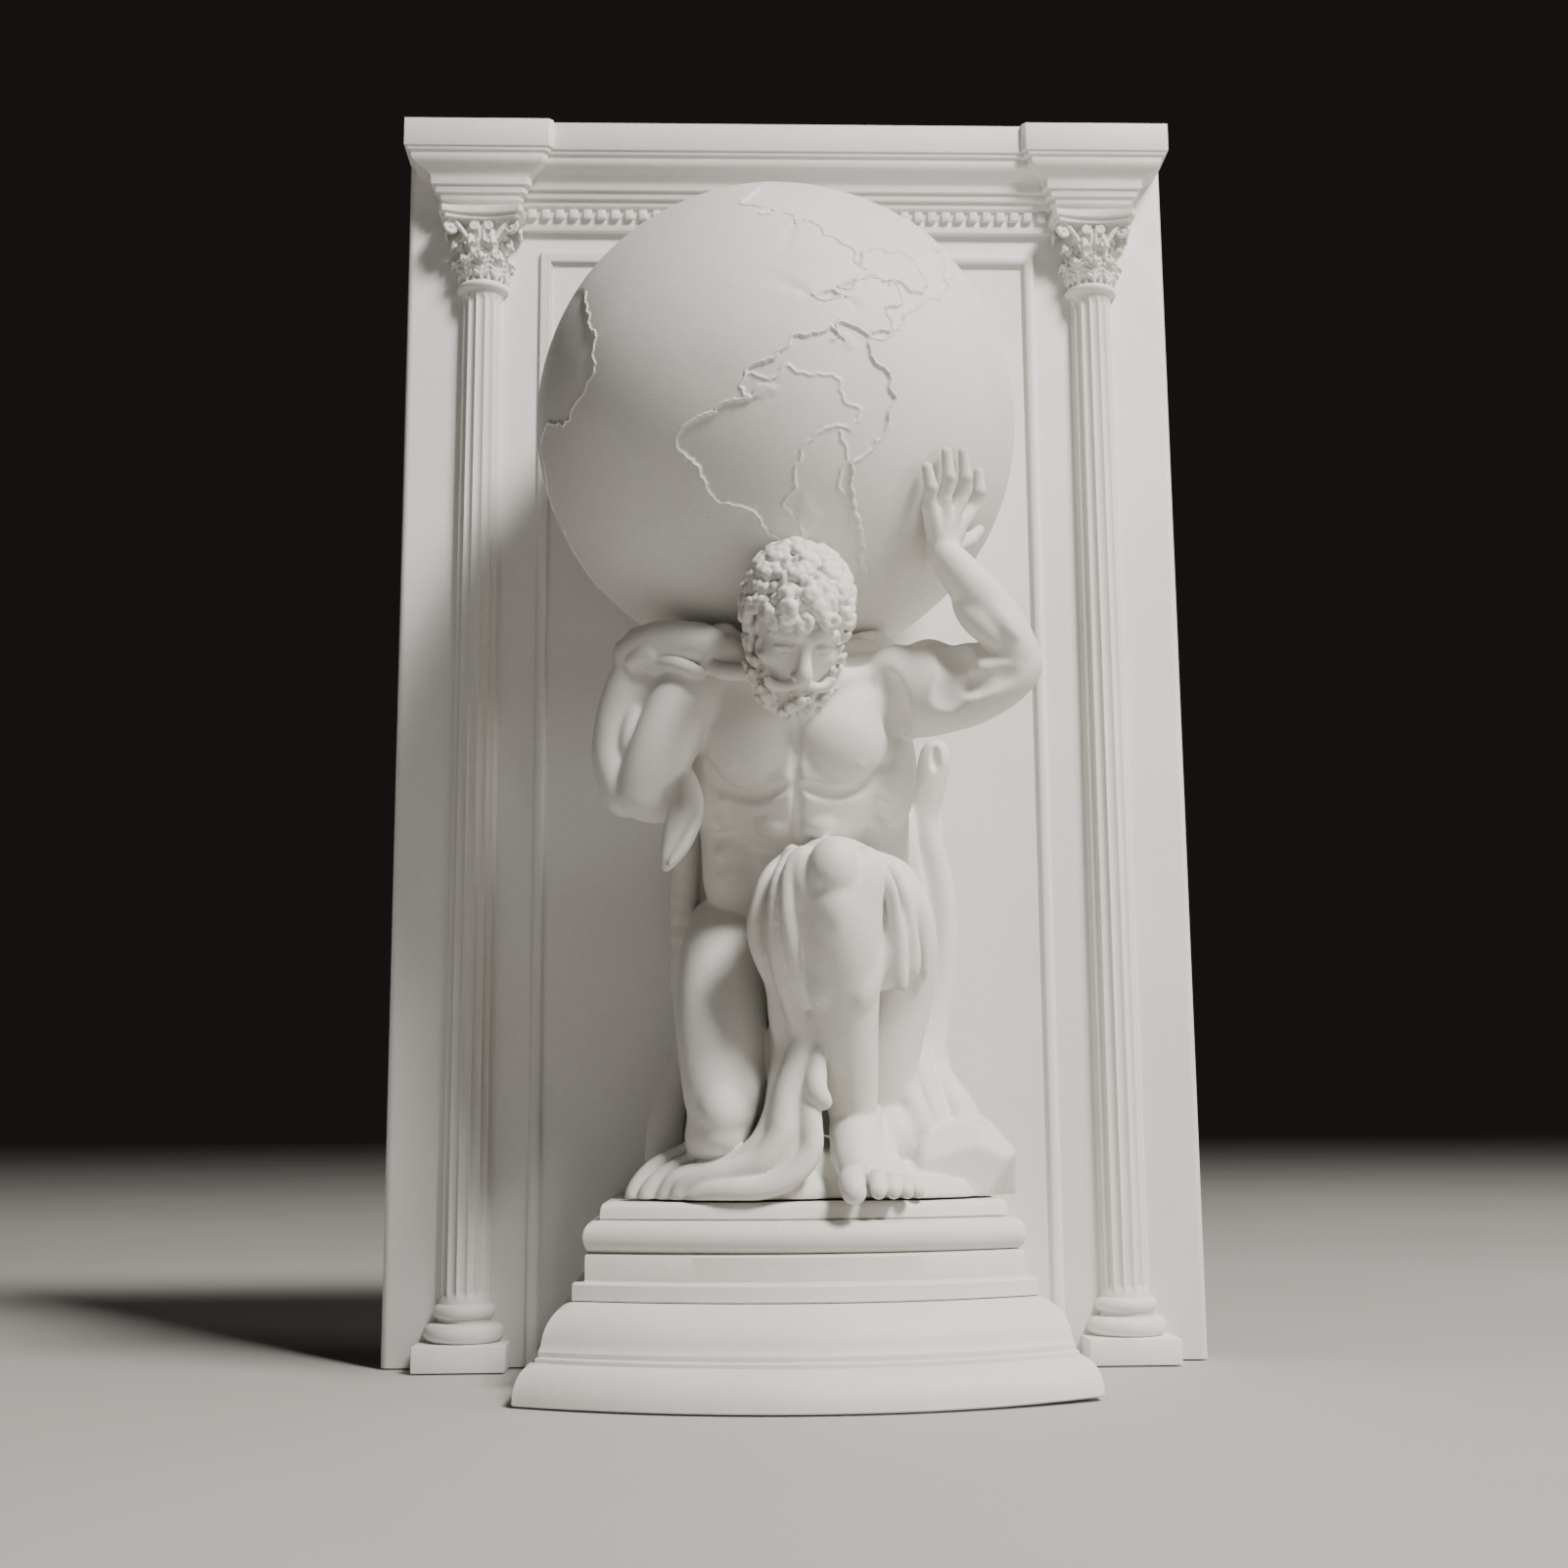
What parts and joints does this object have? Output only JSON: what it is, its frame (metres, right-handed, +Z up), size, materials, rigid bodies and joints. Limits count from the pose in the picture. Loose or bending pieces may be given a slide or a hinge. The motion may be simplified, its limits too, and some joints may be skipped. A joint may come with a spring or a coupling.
{
  "type": "atlas bookend",
  "caption": "Upright bookend with a columned back panel, a bowed plinth and a kneeling bearded Titan who carries a globe on his back.",
  "frame": {"origin": "bottom centre of the whole bookend's bounding box, on the surface it stands on", "axes": "+X to the right seen from the front, +Y towards the panel's back, +Z up; the figure faces -Y"},
  "size_m": [0.1264, 0.0712, 0.2],
  "materials": {
    "panel_white": "matte cast white",
    "plinth_white": "matte cast white",
    "figure_white": "matte cast white",
    "globe_white": "matte cast white"
  },
  "bodies": {
    "root": {"back_panel": "panel_white", "plinth": "plinth_white", "atlas_figure": "figure_white", "globe": "globe_white"}
  },
  "joints": []
}
